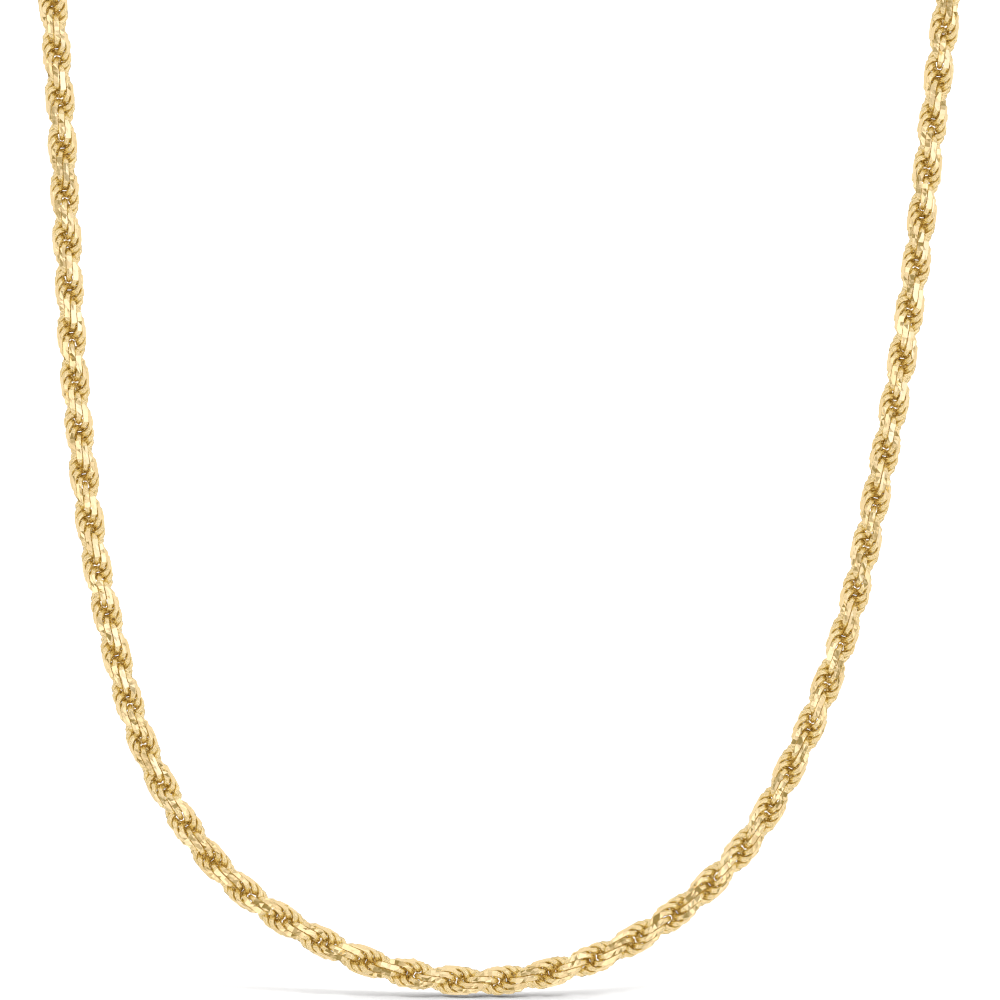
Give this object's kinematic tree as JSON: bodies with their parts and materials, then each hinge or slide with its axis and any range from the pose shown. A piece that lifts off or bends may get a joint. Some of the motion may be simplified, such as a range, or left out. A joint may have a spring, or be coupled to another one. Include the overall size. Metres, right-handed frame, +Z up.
{
  "type": "rope chain necklace",
  "caption": "Diamond-cut rope chain necklace of twisted interlocking links, hanging in a long U and closed by a barrel clasp at the nape.",
  "frame": {"origin": "middle of the clasp, where the necklace lies on the nape", "axes": "+Z up, +X to the wearer's left (right in the picture), front of the necklace towards -Y"},
  "size_m": [0.1339, 0.0908, 0.1801],
  "materials": {
    "chain_gold": "bright polished 14 karat yellow gold with flat diamond cuts",
    "clasp_gold": "polished 14 karat yellow gold"
  },
  "bodies": {
    "root": {"rope_chain": "chain_gold", "clasp": "clasp_gold"}
  },
  "joints": []
}
